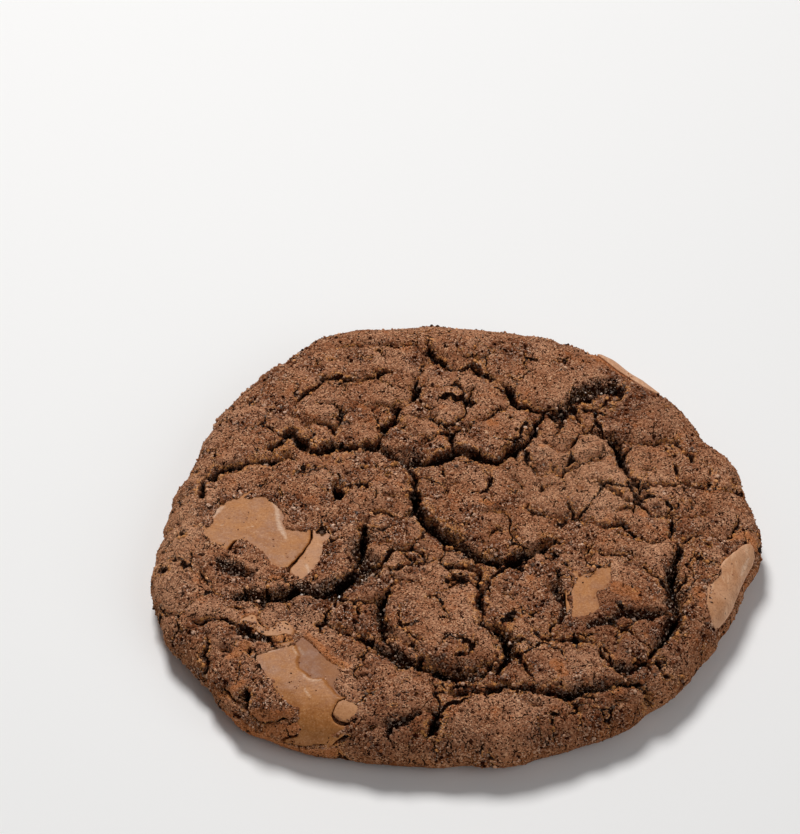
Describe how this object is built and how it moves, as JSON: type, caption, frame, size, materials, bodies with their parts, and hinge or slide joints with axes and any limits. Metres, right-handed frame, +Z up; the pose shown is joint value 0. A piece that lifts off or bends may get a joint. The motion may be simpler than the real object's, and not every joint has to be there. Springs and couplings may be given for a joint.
{
  "type": "double chocolate chunk cookie",
  "caption": "Thick round chocolate cookie with a crackled, lumpy top and rounded rim, set with chunks of milk chocolate.",
  "frame": {"origin": "on the flat base, under the middle of the cookie", "axes": "+Z up out of the crackled top, -Y towards the near side with the large rim chunk, +X towards the chunk on the right edge"},
  "size_m": [0.0969, 0.0931, 0.0121],
  "materials": {
    "dough": "baked chocolate dough, matt, grainy and full of fine pores, almost black in the cracks",
    "chocolate": "milk chocolate, smooth with a soft satin shine and fine cracks"
  },
  "bodies": {
    "root": {"dough": "dough", "chunk_left": "chocolate", "chunk_left_flake": "chocolate", "chunk_near": "chocolate", "chunk_near_flake": "chocolate", "chunk_small": "chocolate", "chunk_right": "chocolate", "chunk_edge": "chocolate", "chunk_far": "chocolate"}
  },
  "joints": []
}
